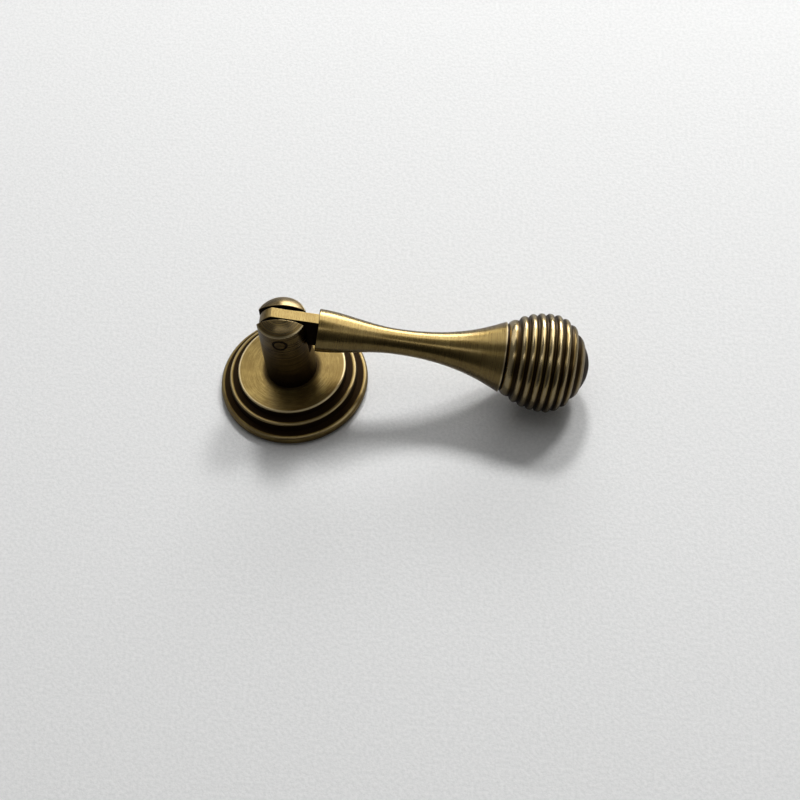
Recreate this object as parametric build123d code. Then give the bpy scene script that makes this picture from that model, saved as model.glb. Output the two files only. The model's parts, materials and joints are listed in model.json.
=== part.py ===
from build123d import *
import math
import os

# Cabinet drop pull with a beehive knob, at rest: its plate is on the mounting
# surface and the knob lies against that surface.
#
# Row frame, millimetres: the origin is the centre of the plate's back face, +Z
# points out of the mounting surface, and the pendant lies towards +X.
# The pendant is drawn along its own axis, s = 0 at the hinge pin, and is then
# turned down by DROOP about the pin.

# ---- driving dimensions -----------------------------------------------------

# stepped round plate: (radius, top height) of each tier, from the outside in
TIERS = [(14.95, 2.25), (12.85, 4.25), (10.9, 5.95)]
TIER_DRAFT = 0.10               # each upper tier's wall leans in by this much
TIER_EDGE_R = (0.9, 0.35, 0.30)
FOOT_EDGE_R = 1.0               # the lowest tier is also rounded underneath
RECESS_R = 8.6                  # hollow under the plate, for the nut
RECESS_DEPTH = 3.3
PLATE_BORE_R = 4.05

# forked post
POST_FOOT_R = 5.1
POST_RIM_R = 4.97
POST_RIM_Z = 23.1
DOME_H = 2.0
SLOT_W = 3.3
SLOT_FLOOR_Z = 13.8
EDGE_BREAK = 0.12               # rounding of machined edges
SPIGOT_R = 4.0                  # M8 x 1 spigot, drawn at its outer radius

# mounting screw hole, M4, tapped from the spigot's end
SCREW_HOLE_R = 1.65
SCREW_HOLE_DEPTH = 11.0

# nut and lock washer in the recess
NUT_ACROSS_FLATS = 12.0
NUT_T = 2.1
WASHER_R = 7.0
WASHER_T = 0.8
WASHER_TEETH = 10

# hinge
PIN_R = 1.25
PIN_Z = 20.6
PIN_RUNNING_GAP = 0.05
HOLE_EDGE = 0.12                # chamfer round the pin's hole in each ear
DROOP = 11.95                   # degrees below the plane parallel to the plate

# pendant stem
TONGUE_T = 2.3
TONGUE_END_R = 4.65
TONGUE_HALF_H = 3.88            # flats above and below, a little under the barrel
BARREL_R = 4.2
SHOULDER_S = 6.85
STEM_WAIST = [(13.0, 3.61), (19.0, 2.71), (25.0, 2.54), (33.0, 3.41), (40.0, 5.45)]
STEM_END_S = 43.5
STEM_END_R = 6.95

# beehive knob: the ribs' crests lie on two half ellipses that share a crown
CROWN_S = 52.5
CROWN_R = 9.77
FRONT_HALF = 11.8
BACK_HALF = 7.7
RIBS = 9
FIRST_RIB_S = 44.9
RIB_PITCH = 1.74
LAST_RIB_S = 58.7               # the last rib is closer, where the egg falls away
RIB_DEPTH = 0.48                # square to the egg's surface
VALLEY_FLOOR = 0.28
LAST_VALLEY = (59.35, 4.45)     # (s, radius) where the plain cap starts
NECK_S = 43.9                   # the first rib starts here, past a narrow groove
NECK_R = 6.55
TIP_S = 60.75

# stud that joins the stem and the knob, M5, drawn at its outer radius
STUD_R = 2.5
STUD_START_S = 38.0
STUD_END_S = 51.5
BLIND_END_GAP = 0.5


# ---- helpers ----------------------------------------------------------------

def turned(points, axis):
    """A solid of revolution from an outline of straight runs, in the XZ plane."""
    with BuildPart() as part:
        with BuildSketch(Plane.XZ):
            with BuildLine():
                Polyline(*points, close=True)
            make_face()
        revolve(axis=axis)
    return part.part


def dome_mid(rim_r, height):
    """Midpoint of a round dome's arc: its radius from the axis and its rise over the rim."""
    sphere_r = (rim_r ** 2 + height ** 2) / (2 * height)
    half_arc = math.asin(rim_r / sphere_r) / 2
    return sphere_r * math.sin(half_arc), height - sphere_r * (1 - math.cos(half_arc))


def on_pin(shape):
    """Places a shape drawn along the pendant's axis at the pin, drooping."""
    return Location((0, 0, PIN_Z), (0, DROOP, 0)) * shape


def post_radius(z):
    """The post's radius between its foot on the plate and its rim."""
    share = (z - TIERS[-1][1]) / (POST_RIM_Z - TIERS[-1][1])
    return POST_FOOT_R + (POST_RIM_R - POST_FOOT_R) * share


# ---- plate side -------------------------------------------------------------

def make_backplate():
    """Three turned tiers, hollowed underneath and bored for the spigot."""
    outline = [(PLATE_BORE_R, RECESS_DEPTH), (RECESS_R, RECESS_DEPTH), (RECESS_R, 0),
               (TIERS[0][0], 0)]
    for k, (radius, top) in enumerate(TIERS):
        outline.append((radius, top))
        if k + 1 < len(TIERS):
            outline.append((TIERS[k + 1][0] + TIER_DRAFT, top))
    outline.append((PLATE_BORE_R, TIERS[-1][1]))
    plate = turned(outline, Axis.Z)
    for (radius, top), edge_r in zip(TIERS, TIER_EDGE_R):
        rims = [e for e in plate.edges().filter_by(GeomType.CIRCLE)
                if abs(e.radius - radius) < 0.01 and abs(e.center().Z - top) < 0.01]
        plate = fillet(rims, edge_r)
    foot = [e for e in plate.edges().filter_by(GeomType.CIRCLE)
            if abs(e.radius - TIERS[0][0]) < 0.01 and abs(e.center().Z) < 0.01]
    return fillet(foot, FOOT_EDGE_R)


def post_blank():
    """The post before it is slotted and drilled: spigot, tapered shank and dome."""
    plate_top = TIERS[-1][1]
    mid_r, mid_rise = dome_mid(POST_RIM_R, DOME_H)
    with BuildPart() as blank:
        with BuildSketch(Plane.XZ):
            with BuildLine():
                Polyline((0, POST_RIM_Z + DOME_H), (0, 0), (SPIGOT_R, 0), (SPIGOT_R, plate_top),
                         (POST_FOOT_R, plate_top), (POST_RIM_R, POST_RIM_Z))
                ThreePointArc((POST_RIM_R, POST_RIM_Z), (mid_r, POST_RIM_Z + mid_rise),
                              (0, POST_RIM_Z + DOME_H))
            make_face()
        revolve(axis=Axis.Z)
    return blank.part


def is_open_post_edge(edge):
    """Edges of the slot, of the dome's rim and of the slot floor's two ends."""
    middle = edge @ 0.5
    outside = math.hypot(middle.X, middle.Y) > 0.9 * POST_RIM_R
    on_dome = middle.Z > POST_RIM_Z + 0.05
    return middle.Z > SLOT_FLOOR_Z - 0.01 and (outside or on_dome)


def make_post():
    """Forked post: slot for the tongue, holes for the pin, screw hole from below."""
    post = post_blank()
    slot_h = POST_RIM_Z + DOME_H - SLOT_FLOOR_Z
    post -= Pos(0, 0, SLOT_FLOOR_Z + slot_h / 2) * Box(4 * POST_FOOT_R, SLOT_W, slot_h)
    post = fillet([e for e in post.edges() if is_open_post_edge(e)], EDGE_BREAK)
    pin_hole = Cylinder(PIN_R, 4 * POST_FOOT_R)
    post -= Pos(0, 0, PIN_Z) * Rot(90, 0, 0) * pin_hole
    ear = post_radius(PIN_Z)
    mouths = [e for e in post.edges()
              if abs(e.center().Z - PIN_Z) < 0.3 and abs(e.center().Y) > 0.9 * ear]
    post = chamfer(mouths, HOLE_EDGE)
    drill_tip = SCREW_HOLE_R * math.tan(math.radians(31))
    post -= turned([(0, 0), (SCREW_HOLE_R, 0), (SCREW_HOLE_R, SCREW_HOLE_DEPTH),
                    (0, SCREW_HOLE_DEPTH + drill_tip)], Axis.Z)
    return post


def make_hinge_pin():
    """Pin pressed through both ears and filed flush with the post."""
    rod = Pos(0, 0, PIN_Z) * Rot(90, 0, 0) * Cylinder(PIN_R, 4 * POST_FOOT_R)
    envelope = turned([(0, PIN_Z - 3), (post_radius(PIN_Z - 3), PIN_Z - 3),
                       (post_radius(PIN_Z + 2.5), PIN_Z + 2.5), (0, PIN_Z + 2.5)], Axis.Z)
    return rod & envelope


def make_post_washer():
    """Lock washer with teeth along its inner edge, under the plate's roof."""
    low = RECESS_DEPTH - WASHER_T
    ring = Pos(0, 0, low) * extrude(Circle(WASHER_R) - Circle(SPIGOT_R + 0.1), WASHER_T)
    gap = Pos(SPIGOT_R + 0.6, 0, low) * extrude(Rectangle(1.6, 0.8), WASHER_T)
    for k in range(WASHER_TEETH):
        ring -= Rot(0, 0, 360 * k / WASHER_TEETH) * gap
    return ring


def make_post_nut():
    """Thin hexagon nut on the spigot, its corners turned back at both faces."""
    low = RECESS_DEPTH - WASHER_T - NUT_T
    corner_r = NUT_ACROSS_FLATS / math.sqrt(3)
    corner_cut = 0.35
    body = Pos(0, 0, low) * extrude(RegularPolygon(corner_r, 6), NUT_T)
    body &= turned([(0, low), (corner_r - 2 * corner_cut, low), (corner_r, low + corner_cut),
                    (corner_r, low + NUT_T - corner_cut), (corner_r - 2 * corner_cut, low + NUT_T),
                    (0, low + NUT_T)], Axis.Z)
    return body - Pos(0, 0, low + NUT_T / 2) * Cylinder(SPIGOT_R, 2 * NUT_T)


# ---- pendant ----------------------------------------------------------------

def is_open_stem_edge(edge):
    """Edges of the tongue and the shoulder's rim, but not the corner between them."""
    middle = edge @ 0.5
    at_shoulder = abs(middle.X - SHOULDER_S) < 0.01
    inside_rim = math.hypot(middle.Y, middle.Z) < BARREL_R - 0.05
    return middle.X < SHOULDER_S + 0.01 and not (at_shoulder and inside_rim)


def make_lever_stem():
    """Barrel with a milled tongue, a slim waist and a flare that carries the knob."""
    start = -TONGUE_END_R
    with BuildPart() as stem:
        with BuildSketch(Plane.XZ):
            with BuildLine():
                Polyline((STEM_END_S, STEM_END_R), (STEM_END_S, 0), (start, 0),
                         (start, BARREL_R), (SHOULDER_S, BARREL_R))
                Spline((SHOULDER_S, BARREL_R), *STEM_WAIST, (STEM_END_S, STEM_END_R),
                       tangents=[(1, 0), (1, 0.44)])
            make_face()
        revolve(axis=Axis.X)
    body = Rot(90, 0, 0) * stem.part    # turned so that the seam is cut away with the tongue's sides
    tongue_len = SHOULDER_S - start
    blank = Pos(start + tongue_len / 2, 0, 0) * Box(tongue_len, 4 * BARREL_R, 4 * BARREL_R)
    body -= blank - Box(4 * tongue_len, TONGUE_T, 2 * TONGUE_HALF_H)
    round_end = Rot(90, 0, 0) * Cylinder(TONGUE_END_R, 4 * BARREL_R)
    keep = round_end + Pos(STEM_END_S / 2 + 0.5, 0, 0) * Box(STEM_END_S + 1, 4 * STEM_END_R,
                                                           4 * STEM_END_R)
    body &= keep
    body = fillet([e for e in body.edges() if is_open_stem_edge(e)], EDGE_BREAK)
    body -= Rot(90, 0, 0) * Cylinder(PIN_R + PIN_RUNNING_GAP, 4 * BARREL_R)
    body -= turned([(STUD_START_S - BLIND_END_GAP, 0), (STUD_START_S - BLIND_END_GAP, STUD_R),
                    (STEM_END_S, STUD_R), (STEM_END_S, 0)], Axis.X)
    return on_pin(body)


def make_joining_stud():
    """Headless stud, half in the stem and half in the knob."""
    edge = 0.4
    return on_pin(turned([(STUD_START_S, 0), (STUD_START_S, STUD_R - edge), (STUD_START_S + edge, STUD_R),
                          (STUD_END_S - edge, STUD_R), (STUD_END_S, STUD_R - edge),
                          (STUD_END_S, 0)], Axis.X))


def crest_radius(s):
    """Radius of the curve that the ribs' crests lie on."""
    half = FRONT_HALF if s < CROWN_S else BACK_HALF
    return CROWN_R * math.sqrt(1 - ((s - CROWN_S) / half) ** 2)


def valley_point(s):
    """The point RIB_DEPTH below the crests' curve at s, square to it."""
    half = FRONT_HALF if s < CROWN_S else BACK_HALF
    along, out = (s - CROWN_S) / half ** 2, crest_radius(s) / CROWN_R ** 2
    scale = RIB_DEPTH / math.hypot(along, out)
    return s - scale * along, crest_radius(s) - scale * out


def make_beehive_knob():
    """Turned egg of round ribs with narrow valley floors, ending in a plain cap."""
    crests = [FIRST_RIB_S + k * RIB_PITCH for k in range(RIBS - 1)] + [LAST_RIB_S]
    blind_end = STUD_END_S + BLIND_END_GAP
    with BuildPart() as knob:
        with BuildSketch(Plane.XZ):
            with BuildLine():
                Polyline((TIP_S, 0), (blind_end, 0), (blind_end, STUD_R), (STEM_END_S, STUD_R),
                         (STEM_END_S, NECK_R), (NECK_S, NECK_R))
                start = (NECK_S, NECK_R)
                for s, next_s in zip(crests, crests[1:]):
                    middle = (s + next_s) / 2
                    end = valley_point(middle - VALLEY_FLOOR / 2)
                    ThreePointArc(start, (s, crest_radius(s)), end)
                    start = valley_point(middle + VALLEY_FLOOR / 2)
                    Line(end, start)
                ThreePointArc(start, (LAST_RIB_S, crest_radius(LAST_RIB_S)), LAST_VALLEY)
                cap_s, cap_r = LAST_VALLEY
                mid_r, mid_rise = dome_mid(cap_r, TIP_S - cap_s)
                ThreePointArc(LAST_VALLEY, (cap_s + mid_rise, mid_r), (TIP_S, 0))
            make_face()
        revolve(axis=Axis.X)
    return on_pin(knob.part)


# ---- write one file per piece -----------------------------------------------

PIECES = {
    "backplate": make_backplate,
    "post": make_post,
    "post_washer": make_post_washer,
    "post_nut": make_post_nut,
    "hinge_pin": make_hinge_pin,
    "lever_stem": make_lever_stem,
    "joining_stud": make_joining_stud,
    "beehive_knob": make_beehive_knob,
}

os.makedirs("parts", exist_ok=True)
for name, make in PIECES.items():
    export_step(make(), f"parts/{name}.step")
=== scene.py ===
import json
import math
from collections import namedtuple

import bmesh
import bpy
from mathutils import Matrix, Vector


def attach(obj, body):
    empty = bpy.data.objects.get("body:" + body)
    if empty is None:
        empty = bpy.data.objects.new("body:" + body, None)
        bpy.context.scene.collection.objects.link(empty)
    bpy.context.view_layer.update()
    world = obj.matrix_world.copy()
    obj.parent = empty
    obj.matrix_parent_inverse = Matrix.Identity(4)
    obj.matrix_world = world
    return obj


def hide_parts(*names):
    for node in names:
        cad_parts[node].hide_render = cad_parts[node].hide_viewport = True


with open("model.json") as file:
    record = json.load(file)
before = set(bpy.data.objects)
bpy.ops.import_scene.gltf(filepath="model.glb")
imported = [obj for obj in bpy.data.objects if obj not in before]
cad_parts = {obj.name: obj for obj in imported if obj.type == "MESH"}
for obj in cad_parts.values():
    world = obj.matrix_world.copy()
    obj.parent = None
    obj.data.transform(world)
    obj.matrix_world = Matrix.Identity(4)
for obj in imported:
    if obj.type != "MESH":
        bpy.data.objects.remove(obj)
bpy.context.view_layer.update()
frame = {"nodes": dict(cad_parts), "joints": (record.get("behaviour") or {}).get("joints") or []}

# The object's sizes below are in millimetres, and MM turns them into metres.
MM = 0.001

# ---- camera -----------------------------------------------------------------

CAMERA_AT = Vector((0.0670, -0.2210, 0.3385))
CAMERA_YAW = math.radians(-11.74)       # turned left of +Y
CAMERA_PITCH = math.radians(56.71)      # looking down
CAMERA_ROLL = math.radians(-8.18)
CAMERA_LENS = 90.24
SENSOR_WIDTH = 36


def make_camera():
    forward = Vector((math.sin(CAMERA_YAW) * math.cos(CAMERA_PITCH),
                      math.cos(CAMERA_YAW) * math.cos(CAMERA_PITCH),
                      -math.sin(CAMERA_PITCH)))
    level = Vector((math.cos(CAMERA_YAW), -math.sin(CAMERA_YAW), 0))
    upright = level.cross(forward)
    right = math.cos(CAMERA_ROLL) * level + math.sin(CAMERA_ROLL) * upright
    up = right.cross(forward)
    data = bpy.data.cameras.new("camera")
    data.lens = CAMERA_LENS
    data.sensor_width = SENSOR_WIDTH
    data.clip_start = 0.01
    data.clip_end = 20
    camera = bpy.data.objects.new("camera", data)
    turn = Matrix((right, up, -forward)).transposed().to_4x4()
    camera.matrix_world = Matrix.Translation(CAMERA_AT) @ turn
    bpy.context.scene.collection.objects.link(camera)
    bpy.context.scene.camera = camera


# ---- node graphs ------------------------------------------------------------

class Graph:
    """Short ways to add nodes to one node tree. A socket or a number may feed any input."""

    def __init__(self, tree):
        self.tree = tree

    def add(self, kind, inputs=None, **settings):
        node = self.tree.nodes.new("ShaderNode" + kind)
        for key, value in settings.items():
            setattr(node, key, value)
        for key, value in (inputs or {}).items():
            self.feed(node.inputs[key], value)
        return node

    def feed(self, socket, value):
        if isinstance(value, bpy.types.NodeSocket):
            self.tree.links.new(value, socket)
        else:
            socket.default_value = value

    def math(self, operation, *values):
        node = self.add("Math", operation=operation)
        for socket, value in zip(node.inputs, values):
            self.feed(socket, value)
        return node.outputs[0]

    def largest(self, first, *others):
        for other in others:
            first = self.math("MAXIMUM", first, other)
        return first

    def off(self, value, centre):
        """The distance between a value and a fixed centre."""
        return self.math("ABSOLUTE", self.math("SUBTRACT", value, centre))

    def vector_math(self, operation, *values):
        node = self.add("VectorMath", operation=operation)
        for socket, value in zip(node.inputs, values):
            self.feed(socket, value)
        return node.outputs["Value" if operation in ("LENGTH", "DOT_PRODUCT") else "Vector"]

    def scale(self, vector, factor):
        node = self.add("VectorMath", {"Vector": vector, "Scale": factor}, operation="SCALE")
        return node.outputs["Vector"]

    def split(self, vector):
        return self.add("SeparateXYZ", {"Vector": vector}).outputs

    def join(self, **parts):
        return self.add("CombineXYZ", parts).outputs["Vector"]

    def turn_about_y(self, vector, angle):
        node = self.add("VectorRotate", {"Vector": vector, "Axis": (0, 1, 0), "Angle": angle},
                        rotation_type="AXIS_ANGLE")
        return node.outputs["Vector"]

    def remap(self, value, low, high, to_low=0.0, to_high=1.0):
        node = self.add("MapRange", {"Value": value, "From Min": low, "From Max": high,
                                     "To Min": to_low, "To Max": to_high},
                        interpolation_type="SMOOTHSTEP")
        return node.outputs["Result"]

    def remap_mm(self, value, low, high, to_low=0.0, to_high=1.0):
        """remap of a length, with its two ends in millimetres."""
        return self.remap(value, low * MM, high * MM, to_low, to_high)

    def noise(self, vector, scale, detail, roughness):
        return self.add("TexNoise", {"Vector": vector, "Scale": scale, "Detail": detail,
                                     "Roughness": roughness}).outputs["Fac"]

    def bump(self, height, depth, strength=1.0):
        """Dents of the given depth in millimetres."""
        return self.add("Bump", {"Height": height, "Distance": depth * MM,
                                 "Strength": strength}).outputs["Normal"]

    def mix(self, share, a, b):
        """The colour a where share is 0, going to b where it is 1."""
        node = self.add("Mix", data_type="RGBA")
        self.feed(node.inputs["Factor"], share)
        for socket, color in zip((s for s in node.inputs if s.type == "RGBA"), (a, b)):
            self.feed(socket, color)
        return next(s for s in node.outputs if s.type == "RGBA")


def rgba(color):
    return (*color, 1.0)


def grey(value):
    return (value, value, value, 1.0)


def new_material(name):
    """A new material, with its graph and its shader."""
    material = bpy.data.materials.new(name)
    material.use_nodes = True
    return material, Graph(material.node_tree), material.node_tree.nodes["Principled BSDF"]


# ---- turned brass -----------------------------------------------------------

POLISHED_BRASS = (0.68, 0.55, 0.31)
CLEAN_BRASS = (0.34, 0.245, 0.080)
OLD_BRASS = (0.16, 0.095, 0.024)
# Patina in hollows, random specks and painted shade in corners, gaps and on the knob's cap all
# take this dark brown.
DARK_PATINA_AND_SHADE = (0.014, 0.007, 0.003)

HINGE = Vector(frame["joints"][0]["pos_m"])
DROOP = math.radians(11.95)

# A point on a turned piece, how far it is along the axis and out from it, and the way out.
Place = namedtuple("Place", "point along radius outward")


def turned_place(graph, on_pendant):
    """The shaded point, as sockets.

    Plate pieces are turned about Z. Pendant pieces are turned about a line through the hinge that
    droops by DROOP at rest.
    """
    point = graph.add("TexCoord").outputs["Object"]
    if on_pendant:
        point = graph.turn_about_y(graph.vector_math("SUBTRACT", point, tuple(HINGE)), -DROOP)
    x, y, z = graph.split(point)
    along, first, second = (x, y, z) if on_pendant else (z, x, y)
    across = graph.join(X=first, Y=second)
    return Place(point, along, graph.vector_math("LENGTH", across),
                 graph.vector_math("NORMALIZE", across))


def brush_lines(graph, place, pitch, stroke):
    """Fine lines round the axis, pitch millimetres apart and about stroke radians long."""
    step = pitch * MM
    across = graph.join(Z=graph.math("DIVIDE", place.along, step))
    around = graph.scale(place.outward, 1 / stroke)
    noise = graph.add("TexNoise", {"Vector": graph.vector_math("ADD", across, around),
                                   "W": graph.math("DIVIDE", place.radius, step),
                                   "Scale": 1.0, "Detail": 2.0, "Roughness": 0.6},
                      noise_dimensions="4D")
    return noise.outputs["Fac"]


def brush_direction(graph, place, on_pendant):
    """The direction of the brush lines, round the axis, in world space."""
    a, b, _ = graph.split(place.outward)
    back = graph.math("MULTIPLY", b, -1.0)
    if on_pendant:
        local = graph.turn_about_y(graph.join(Y=back, Z=a), DROOP)
    else:
        local = graph.join(X=back, Y=a)
    turn = graph.add("VectorTransform", {"Vector": local}, vector_type="VECTOR",
                     convert_from="OBJECT", convert_to="WORLD")
    return graph.vector_math("NORMALIZE", turn.outputs["Vector"])


def turned_brass(name, patina_and_shade_mask, wear_and_highlight_mask, pitch, stroke, rough, age, groove, on_pendant=False,
                 clean=CLEAN_BRASS, old=OLD_BRASS, anisotropy=0.6, coat=0.5):
    """Antique brass brushed on the lathe.

    Of the two mask functions, the first says where the metal turns matt and dark brown: Patina
    in its hollows, and painted shade in corners and gaps. The second says where hands and the
    polishing wheel have laid the metal bare; on some rims it also paints a highlight in bright
    brass. Elsewhere the metal wears from old to clean, less so with age. The brush lines are
    groove millimetres deep.
    """
    material, graph, shader = new_material(name)
    place = turned_place(graph, on_pendant)
    lines = brush_lines(graph, place, pitch, stroke)
    blotch = graph.noise(place.point, 260.0, 4.0, 0.6)
    speck = graph.noise(place.point, 2600.0, 2.0, 0.7)
    wear = graph.math("ADD", graph.math("MULTIPLY", lines, 0.9),
                      graph.math("MULTIPLY", blotch, 0.7))
    worn = graph.remap(wear, 0.45 + 0.5 * age, 0.95 + 0.5 * age)
    patina_and_shade = patina_and_shade_mask(graph, place)

    color = graph.mix(worn, rgba(old), rgba(clean))
    # Bright brass where the metal is worn bare; on the plate's rims and the post's ears this is
    # also a painted highlight.
    color = graph.mix(wear_and_highlight_mask(graph, place), color, rgba(POLISHED_BRASS))
    color = graph.mix(graph.remap(speck, 0.62, 0.75, 0.0, 0.45), color, rgba(DARK_PATINA_AND_SHADE))
    # Patina in the hollows, and painted shade in corners and gaps, both in dark brown.
    color = graph.mix(patina_and_shade, color, rgba(DARK_PATINA_AND_SHADE))
    graph.feed(shader.inputs["Base Color"], color)
    shader.inputs["Metallic"].default_value = 1.0

    gloss = graph.math("ADD", rough - 0.08, graph.math("MULTIPLY", lines, 0.16))
    gloss = graph.math("ADD", gloss, graph.math("MULTIPLY", patina_and_shade, 0.25))
    graph.feed(shader.inputs["Roughness"], gloss)
    bare = graph.math("SUBTRACT", 1.0, patina_and_shade)
    graph.feed(shader.inputs["Coat Weight"], graph.math("MULTIPLY", bare, coat))
    shader.inputs["Coat Roughness"].default_value = 0.18
    shader.inputs["Anisotropic"].default_value = anisotropy
    shader.inputs["Anisotropic Rotation"].default_value = 0.25
    graph.feed(shader.inputs["Tangent"], brush_direction(graph, place, on_pendant))
    graph.feed(shader.inputs["Normal"], graph.bump(lines, groove))
    return material


def plain_metal(name, color, rough, dents):
    """Machined metal of a hidden part: fine mottling, dents and a slight change of gloss."""
    material, graph, shader = new_material(name)
    mottle = graph.noise(graph.add("TexCoord").outputs["Object"], 900.0, 5.0, 0.5)
    darker = [0.6 * c for c in color]
    graph.feed(shader.inputs["Base Color"],
               graph.mix(graph.remap(mottle, 0.35, 0.65), rgba(darker), rgba(color)))
    shader.inputs["Metallic"].default_value = 1.0
    graph.feed(shader.inputs["Roughness"],
               graph.math("ADD", rough, graph.math("MULTIPLY", mottle, 0.15)))
    graph.feed(shader.inputs["Normal"], graph.bump(mottle, 0.02, dents))
    return material


# ---- lathe ------------------------------------------------------------------

SEGMENTS = 288
ARC_STEP = math.radians(9)
SHARP_EDGE = math.radians(35)


def swing(centre, spoke, turn, steps):
    """Points of the arc that the end of a spoke draws as it turns about the centre."""
    x, y = centre
    points = []
    for k in range(steps + 1):
        angle = turn * k / steps
        points.append((x + spoke.x * math.cos(angle) - spoke.y * math.sin(angle),
                       y + spoke.x * math.sin(angle) + spoke.y * math.cos(angle)))
    return points


def corner_arc(before, corner, after, radius):
    """Points of the arc of the given radius that rounds a corner of an outline."""
    into = (Vector(before) - Vector(corner)).normalized()
    out = (Vector(after) - Vector(corner)).normalized()
    half = into.angle(out) / 2
    reach = radius / math.tan(half)
    centre = Vector(corner) + (into + out).normalized() * (radius / math.sin(half))
    start = Vector(corner) + into * reach - centre
    end = Vector(corner) + out * reach - centre
    turn = -start.angle_signed(end)
    return swing(centre, start, turn, max(3, math.ceil(abs(turn) / ARC_STEP)))


def rounded(corners):
    """An outline from (radius, height, rounding) corners."""
    points = []
    for k, (r, h, rounding) in enumerate(corners):
        if rounding > 0:
            before, after = corners[k - 1][:2], corners[(k + 1) % len(corners)][:2]
            points += corner_arc(before, (r, h), after, rounding)
        else:
            points.append((r, h))
    return points


def arc_through(start, middle, end, steps):
    """Points of the circular arc through three points, without the first."""
    (ax, ay), (bx, by), (cx, cy) = start, middle, end
    a2, b2, c2 = ax * ax + ay * ay, bx * bx + by * by, cx * cx + cy * cy
    d = 2 * (ax * (by - cy) + bx * (cy - ay) + cx * (ay - by))
    x = (a2 * (by - cy) + b2 * (cy - ay) + c2 * (ay - by)) / d
    y = (a2 * (cx - bx) + b2 * (ax - cx) + c2 * (bx - ax)) / d
    first, last = Vector((ax - x, ay - y)), Vector((cx - x, cy - y))
    return swing((x, y), first, -first.angle_signed(last), steps)[1:]


def lathe(name, outline, closed, along_x=False):
    """A solid of revolution from (radius, height) points in millimetres, as a new object.

    A closed outline makes a ring; an open one starts and ends on the axis.
    """
    bm = bmesh.new()
    rings = []
    for r, h in outline:
        ring = []
        for k in range(SEGMENTS if r > 0 else 1):
            angle = 2 * math.pi * k / SEGMENTS
            a, b, c = r * math.cos(angle) * MM, r * math.sin(angle) * MM, h * MM
            ring.append(bm.verts.new((c, a, b) if along_x else (a, b, c)))
        rings.append(ring)
    pairs = list(zip(rings, rings[1:]))
    if closed:
        pairs.append((rings[-1], rings[0]))
    for low, high in pairs:
        for k in range(SEGMENTS):
            n = (k + 1) % SEGMENTS
            corners = [low[k % len(low)], low[n % len(low)],
                       high[n % len(high)], high[k % len(high)]]
            # On the axis two corners are one vertex, and the face is a triangle.
            bm.faces.new(list(dict.fromkeys(corners)))
    bmesh.ops.recalc_face_normals(bm, faces=bm.faces)
    for face in bm.faces:
        face.smooth = True
    for edge in bm.edges:
        edge.smooth = edge.calc_face_angle(0) < SHARP_EDGE
    mesh = bpy.data.meshes.new(name)
    bm.to_mesh(mesh)
    bm.free()
    piece = bpy.data.objects.new(name, mesh)
    bpy.context.scene.collection.objects.link(piece)
    return piece


def finish_piece(piece, material, body, slot, *nodes):
    piece.data.materials.append(material)
    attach(piece, body)
    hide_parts(*nodes)


# ---- backplate --------------------------------------------------------------

# The last field is how bright the tier's rounded rim is made: edge wear, with a painted highlight
# on top.
Tier = namedtuple("Tier", "radius top rounding shine")
TIERS = [Tier(14.95, 2.25, 0.90, 0.35),
         Tier(12.85, 4.25, 0.35, 0.40),
         Tier(10.90, 5.95, 0.30, 1.00)]
TIER_DRAFT = 0.10
FOOT_ROUNDING = 1.0
INNER_ROUNDING = 0.18
RECESS_R = 8.6
RECESS_DEPTH = 3.3
RECESS_ROUNDING = 0.25
MOUTH_ROUNDING = 0.15
PLATE_BORE_R = 4.05


def plate_patina_and_shade(graph, place):
    """Patina at the foot of each wall, and painted shade on the walls, the ledges and round the
    post.
    """
    # Painted shade and painted reflection of the post, on the disc round its foot.
    share = graph.remap_mm(place.radius, 6.4, 5.3, 0.0, 0.8)
    # Patina in the corner at each wall's foot, and painted shade over the wall and the ledge next
    # to it.
    for low, high in zip(TIERS, TIERS[1:]):
        off_wall = graph.math("DIVIDE", graph.off(place.radius, high.radius * MM), 1.5 * MM)
        up_wall = graph.math("DIVIDE", graph.math("SUBTRACT", place.along, low.top * MM),
                             (high.top - low.top - 0.1) * MM)
        far = graph.largest(off_wall, up_wall)
        share = graph.largest(share, graph.remap(far, 1.0, 0.8, 0.0, 0.97))
    return share


def plate_wear_and_highlight(graph, place):
    """The rounded rim of each tier is worn bright, with a painted highlight on top."""
    rims = []
    for tier in TIERS:
        away = graph.off(place.radius, (tier.radius - 0.4 * tier.rounding) * MM)
        up = graph.off(place.along, (tier.top - 0.3 * tier.rounding) * MM)
        rims.append(graph.remap_mm(graph.math("ADD", away, up), 0.5, 0.1, 0.0, tier.shine))
    return graph.largest(*rims)


def make_backplate():
    corners = [(PLATE_BORE_R, RECESS_DEPTH, 0), (RECESS_R, RECESS_DEPTH, RECESS_ROUNDING),
               (RECESS_R, 0, MOUTH_ROUNDING), (TIERS[0].radius, 0, FOOT_ROUNDING)]
    for tier, upper in zip(TIERS, TIERS[1:]):
        corners += [(tier.radius, tier.top, tier.rounding),
                    (upper.radius + TIER_DRAFT, tier.top, INNER_ROUNDING)]
    highest = TIERS[-1]
    corners += [(highest.radius, highest.top, highest.rounding), (PLATE_BORE_R, highest.top, 0)]
    piece = lathe("backplate_turned", rounded(corners), closed=True)
    material = turned_brass("brass_plate", plate_patina_and_shade, plate_wear_and_highlight, pitch=0.14,
                            stroke=0.22, rough=0.31, age=0.35, groove=0.006,
                            old=(0.18, 0.118, 0.034), coat=0.2)
    finish_piece(piece, material, "mounted_post", "plate_brass", "backplate")


# ---- beehive knob -----------------------------------------------------------

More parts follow.
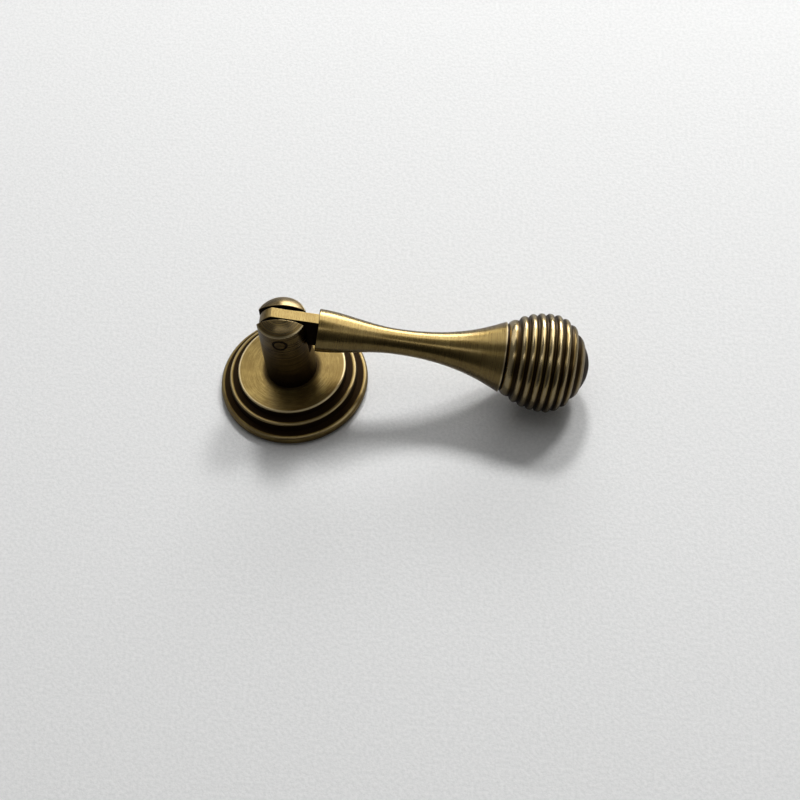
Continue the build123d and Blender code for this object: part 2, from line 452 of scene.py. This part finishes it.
# Places called S are measured along the pendant's axis from the hinge. The ribs' crests lie on
# two half ellipses that meet at the crown.
CROWN_S = 52.5
CROWN_R = 9.77
FRONT_HALF = 11.8
BACK_HALF = 7.7
RIBS = 9
FIRST_RIB_S = 44.9
RIB_PITCH = 1.74
LAST_RIB_S = 58.7
RIB_DEPTH = 0.48
RIB_STEPS = 12
VALLEY_FLOOR = 0.28
LAST_VALLEY = (59.35, 4.45)
NECK_S = 43.9
NECK_R = 6.55
TIP_S = 60.75
STEM_END_S = 43.5
STUD_R = 2.5
BLIND_END_S = 52.0


def half_length(s):
    return FRONT_HALF if s < CROWN_S else BACK_HALF


def crest_radius(s):
    return CROWN_R * math.sqrt(1 - ((s - CROWN_S) / half_length(s)) ** 2)


def valley_point(s):
    """The point RIB_DEPTH below the crests' curve at s, square to it."""
    along, out = (s - CROWN_S) / half_length(s) ** 2, crest_radius(s) / CROWN_R ** 2
    scale = RIB_DEPTH / math.hypot(along, out)
    return s - scale * along, crest_radius(s) - scale * out


def rib_points():
    """(S, radius) points over the ribs, from the neck to the rim of the cap."""
    crests = [FIRST_RIB_S + k * RIB_PITCH for k in range(RIBS - 1)] + [LAST_RIB_S]
    points = [(NECK_S, NECK_R)]
    for s, after in zip(crests, crests[1:]):
        middle = (s + after) / 2
        end = valley_point(middle - VALLEY_FLOOR / 2)
        points += arc_through(points[-1], (s, crest_radius(s)), end, RIB_STEPS)
        points.append(valley_point(middle + VALLEY_FLOOR / 2))
    last_crest = (LAST_RIB_S, crest_radius(LAST_RIB_S))
    return points + arc_through(points[-1], last_crest, LAST_VALLEY, RIB_STEPS)


def cap_points(rim_s, rim_r):
    """(S, radius) points over the spherical cap, from its rim to the tip."""
    rise = TIP_S - rim_s
    sphere_r = (rim_r ** 2 + rise ** 2) / (2 * rise)
    half_arc = math.asin(rim_r / sphere_r)
    points = []
    for k in range(1, RIB_STEPS):
        angle = half_arc * (1 - k / RIB_STEPS)
        points.append((TIP_S - sphere_r * (1 - math.cos(angle)), sphere_r * math.sin(angle)))
    return points + [(TIP_S, 0)]


def height_over_valleys(graph, place):
    """0 in the valleys between the ribs, 1 on their crests."""
    front = graph.math("LESS_THAN", place.along, CROWN_S * MM)
    half = graph.math("ADD", BACK_HALF * MM,
                      graph.math("MULTIPLY", front, (FRONT_HALF - BACK_HALF) * MM))
    along = graph.math("DIVIDE", graph.math("SUBTRACT", place.along, CROWN_S * MM), half)
    out = graph.math("DIVIDE", place.radius, CROWN_R * MM)
    reach = graph.math("SQRT", graph.math("ADD", graph.math("POWER", along, 2.0),
                                          graph.math("POWER", out, 2.0)))
    below = graph.math("MULTIPLY", graph.math("SUBTRACT", 1.0, reach), CROWN_R * MM)
    return graph.remap_mm(below, RIB_DEPTH, 0.0)


def rib_patina_and_shade(graph, place):
    """Patina in the valleys between the ribs and in the groove at the stem, and painted shade over
    the cap.
    """
    valleys = graph.remap(height_over_valleys(graph, place), 0.92, 0.50, 0.0, 0.90)
    # Painted shade over the cap.
    cap = graph.remap_mm(place.along, LAST_RIB_S + 0.35, LAST_RIB_S + 0.7, 0.0, 0.95)
    groove = graph.math("LESS_THAN", place.along, (NECK_S + 0.04) * MM)
    return graph.largest(valleys, cap, groove)


def rib_rubbed(graph, place):
    """The crests of the ribs are worn bright."""
    return graph.remap(height_over_valleys(graph, place), 0.92, 1.0, 0.0, 0.6)


def make_knob():
    ribs = rib_points()
    skin = [(STEM_END_S, NECK_R)] + ribs + cap_points(*ribs[-1])
    stud_hole = [(BLIND_END_S, 0), (BLIND_END_S, STUD_R), (STEM_END_S, STUD_R)]
    outline = [(r, s) for s, r in stud_hole + skin]
    piece = lathe("beehive_knob_turned", outline, closed=False, along_x=True)
    piece.data.transform(Matrix.Translation(HINGE) @ Matrix.Rotation(DROOP, 4, "Y"))
    material = turned_brass("brass_knob", rib_patina_and_shade, rib_rubbed, pitch=0.15, stroke=0.6,
                            rough=0.24, age=0.3, groove=0.004, on_pendant=True,
                            anisotropy=0.3, coat=0.3)
    finish_piece(piece, material, "pendant", "knob_brass", "beehive_knob")


# ---- pieces that keep their CAD shape ---------------------------------------

PIN_R = 1.25
POST_RIM_Z = 23.1
SLOT_HALF = 1.65
SLOT_FLOOR_Z = 13.8
TONGUE_HALF = 1.15
SHOULDER_S = 6.85


def post_patina_and_shade(graph, place):
    """Patina in the ring between pin and hole, painted shade in the slot, and darker toward the
    post's foot.
    """
    foot = graph.remap_mm(place.along, 19.0, 7.0, 0.0, 0.97)
    x, y, z = graph.split(place.point)
    over_pin = graph.math("SUBTRACT", z, HINGE.z)
    from_pin = graph.vector_math("LENGTH", graph.join(X=x, Y=over_pin))
    ring = graph.remap_mm(graph.off(from_pin, (PIN_R + 0.06) * MM), 0.30, 0.18)
    # Painted shade inside the slot, on its walls and floor.
    wall = graph.remap_mm(graph.math("ABSOLUTE", y), SLOT_HALF + 0.10, SLOT_HALF + 0.01)
    above_floor = graph.math("GREATER_THAN", z, (SLOT_FLOOR_Z - 0.02) * MM)
    return graph.largest(foot, ring, graph.math("MULTIPLY", wall, above_floor))


def post_wear_and_highlight(graph, place):
    """The rim of the domed ears is worn bright and their tops less so, partly as a painted
    highlight.
    """
    rim = graph.remap_mm(graph.off(place.along, POST_RIM_Z * MM), 0.35, 0.05, 0.0, 0.9)
    top = graph.remap_mm(place.along, POST_RIM_Z, POST_RIM_Z + 0.8, 0.0, 0.15)
    return graph.largest(rim, top)


def stem_painted_shade(graph, place):
    """Painted shade on the flats of the tongue, which sit in the post's slot, and on the shoulder.
    """
    _, y, _ = graph.split(place.point)
    flats = graph.remap_mm(graph.math("ABSOLUTE", y), TONGUE_HALF - 0.06, TONGUE_HALF - 0.01)
    before_barrel = graph.math("LESS_THAN", place.along, (SHOULDER_S + 0.03) * MM)
    return graph.math("MULTIPLY", flats, before_barrel)


def stem_rubbed(graph, place):
    """The lip at the stem's wide end is worn bright."""
    return graph.remap_mm(place.along, STEM_END_S - 0.35, STEM_END_S - 0.1, 0.0, 0.9)


def paint_cad(node, material):
    mesh = frame["nodes"][node].data
    mesh.materials.clear()
    mesh.materials.append(material)


def paint_cad_nodes():
    for node in ("post", "hinge_pin"):
        paint_cad(node, turned_brass("brass_" + node, post_patina_and_shade, post_wear_and_highlight, pitch=0.24,
                                     stroke=2.5, rough=0.28, age=0.35, groove=0.005,
                                     clean=(0.25, 0.165, 0.048), old=(0.075, 0.045, 0.013),
                                     anisotropy=0.3, coat=0.1))
    paint_cad("lever_stem", turned_brass("brass_stem", stem_painted_shade, stem_rubbed, pitch=0.11,
                                         stroke=0.8, rough=0.29, age=0.3, groove=0.001,
                                         on_pendant=True, old=(0.23, 0.152, 0.042)))
    paint_cad("post_nut", plain_metal("bright_brass", (0.72, 0.52, 0.22), 0.25, 0.3))
    paint_cad("post_washer", plain_metal("zinc_washer", (0.60, 0.60, 0.57), 0.35, 0.5))
    paint_cad("joining_stud", plain_metal("zinc_stud", (0.58, 0.58, 0.56), 0.30, 0.4))


# ---- stage ------------------------------------------------------------------

FLOOR_HALF = 2.0

# Each light has its name, direction from the object, distance, width and height in metres, and
# strength in watts per square metre.
LIGHTS_FOR_METAL = [
    ("window", (0.355, 0.727, 0.588), 1.0, 1.02, 1.0, 7.8),
    ("window_left", (-0.472, 0.604, 0.643), 1.0, 0.65, 0.9, 3.1),
    ("low_window", (0.12, 0.93, 0.33), 0.95, 0.55, 0.36, 26.0),
    ("side_wall", (0.707, -0.025, 0.707), 1.0, 0.9, 0.7, 1.9),
    ("ceiling_strip", (0.0, -0.39, 0.92), 1.2, 0.9, 0.22, 3.5),
]
LIGHTS_FOR_PAPER = [
    ("sun_left", (0.05, 0.61, 0.79), 0.8, 0.12, 0.12, 200),
    ("sun_right", (0.50, 0.70, 1.0), 0.8, 0.12, 0.12, 143),
    ("low_fill", (0.08, 0.90, 0.42), 0.9, 0.65, 0.20, 14),
    ("overhead", (0.0, 0.2, 1.0), 1.5, 1.2, 1.2, 2.2),
]

ROOM_GREY = 0.13
DARK_SIDE_GREY = 0.025
BACKDROP_GREY = 0.8


def paper_material():
    """Grainy white paper, which looks darker when it is mirrored in the metal."""
    material, graph, shader = new_material("paper")
    grain = graph.noise(graph.add("TexCoord").outputs["Object"], 1500.0, 4.0, 0.65)
    color = graph.mix(graph.remap(grain, 0.3, 0.7),
                      rgba((0.76, 0.765, 0.76)), rgba((0.85, 0.85, 0.845)))
    mirrored = graph.add("LightPath").outputs["Is Glossy Ray"]
    color = graph.mix(graph.math("MULTIPLY", mirrored, 0.7), color, grey(0.05))
    graph.feed(shader.inputs["Base Color"], color)
    shader.inputs["Roughness"].default_value = 0.9
    graph.feed(shader.inputs["Normal"], graph.bump(grain, 0.2, 0.35))
    return material


def make_floor():
    bm = bmesh.new()
    bmesh.ops.create_grid(bm, x_segments=1, y_segments=1, size=FLOOR_HALF)
    mesh = bpy.data.meshes.new("floor")
    bm.to_mesh(mesh)
    bm.free()
    floor = bpy.data.objects.new("floor", mesh)
    floor.data.materials.append(paper_material())
    bpy.context.scene.collection.objects.link(floor)


def make_softbox(name, direction, distance, width, height, strength, seen_in_metal):
    """An area light that faces the object. It either shows in the metal or lights the paper."""
    data = bpy.data.lights.new(name, "AREA")
    data.shape = "RECTANGLE"
    data.size = width
    data.size_y = height
    data.energy = strength * width * height
    place = Vector(direction).normalized() * distance
    lamp = bpy.data.objects.new(name, data)
    lamp.location = place
    lamp.rotation_euler = place.to_track_quat("Z", "Y").to_euler()
    lamp.visible_camera = False
    lamp.visible_glossy = seen_in_metal
    lamp.visible_diffuse = not seen_in_metal
    bpy.context.scene.collection.objects.link(lamp)


def make_lights():
    for light in LIGHTS_FOR_METAL:
        make_softbox(*light, seen_in_metal=True)
    for light in LIGHTS_FOR_PAPER:
        make_softbox(*light, seen_in_metal=False)


def make_world():
    """A dim pale room, darker on the side that the camera stands."""
    world = bpy.data.worlds.new("room")
    bpy.context.scene.world = world
    world.use_nodes = True
    graph = Graph(world.node_tree)
    way = graph.add("TexCoord").outputs["Generated"]
    toward_camera = graph.vector_math("DOT_PRODUCT", way, (0.0, -0.95, 0.31))
    dark_side = graph.remap(toward_camera, 0.74, 0.95)
    color = graph.mix(dark_side, grey(ROOM_GREY), grey(DARK_SIDE_GREY))
    seen = graph.add("LightPath").outputs["Is Camera Ray"]
    color = graph.mix(seen, color, grey(BACKDROP_GREY))
    graph.feed(world.node_tree.nodes["Background"].inputs["Color"], color)


bpy.context.scene.view_settings.view_transform = "Standard"
make_camera()
make_floor()
make_lights()
make_world()
make_backplate()
make_knob()
paint_cad_nodes()
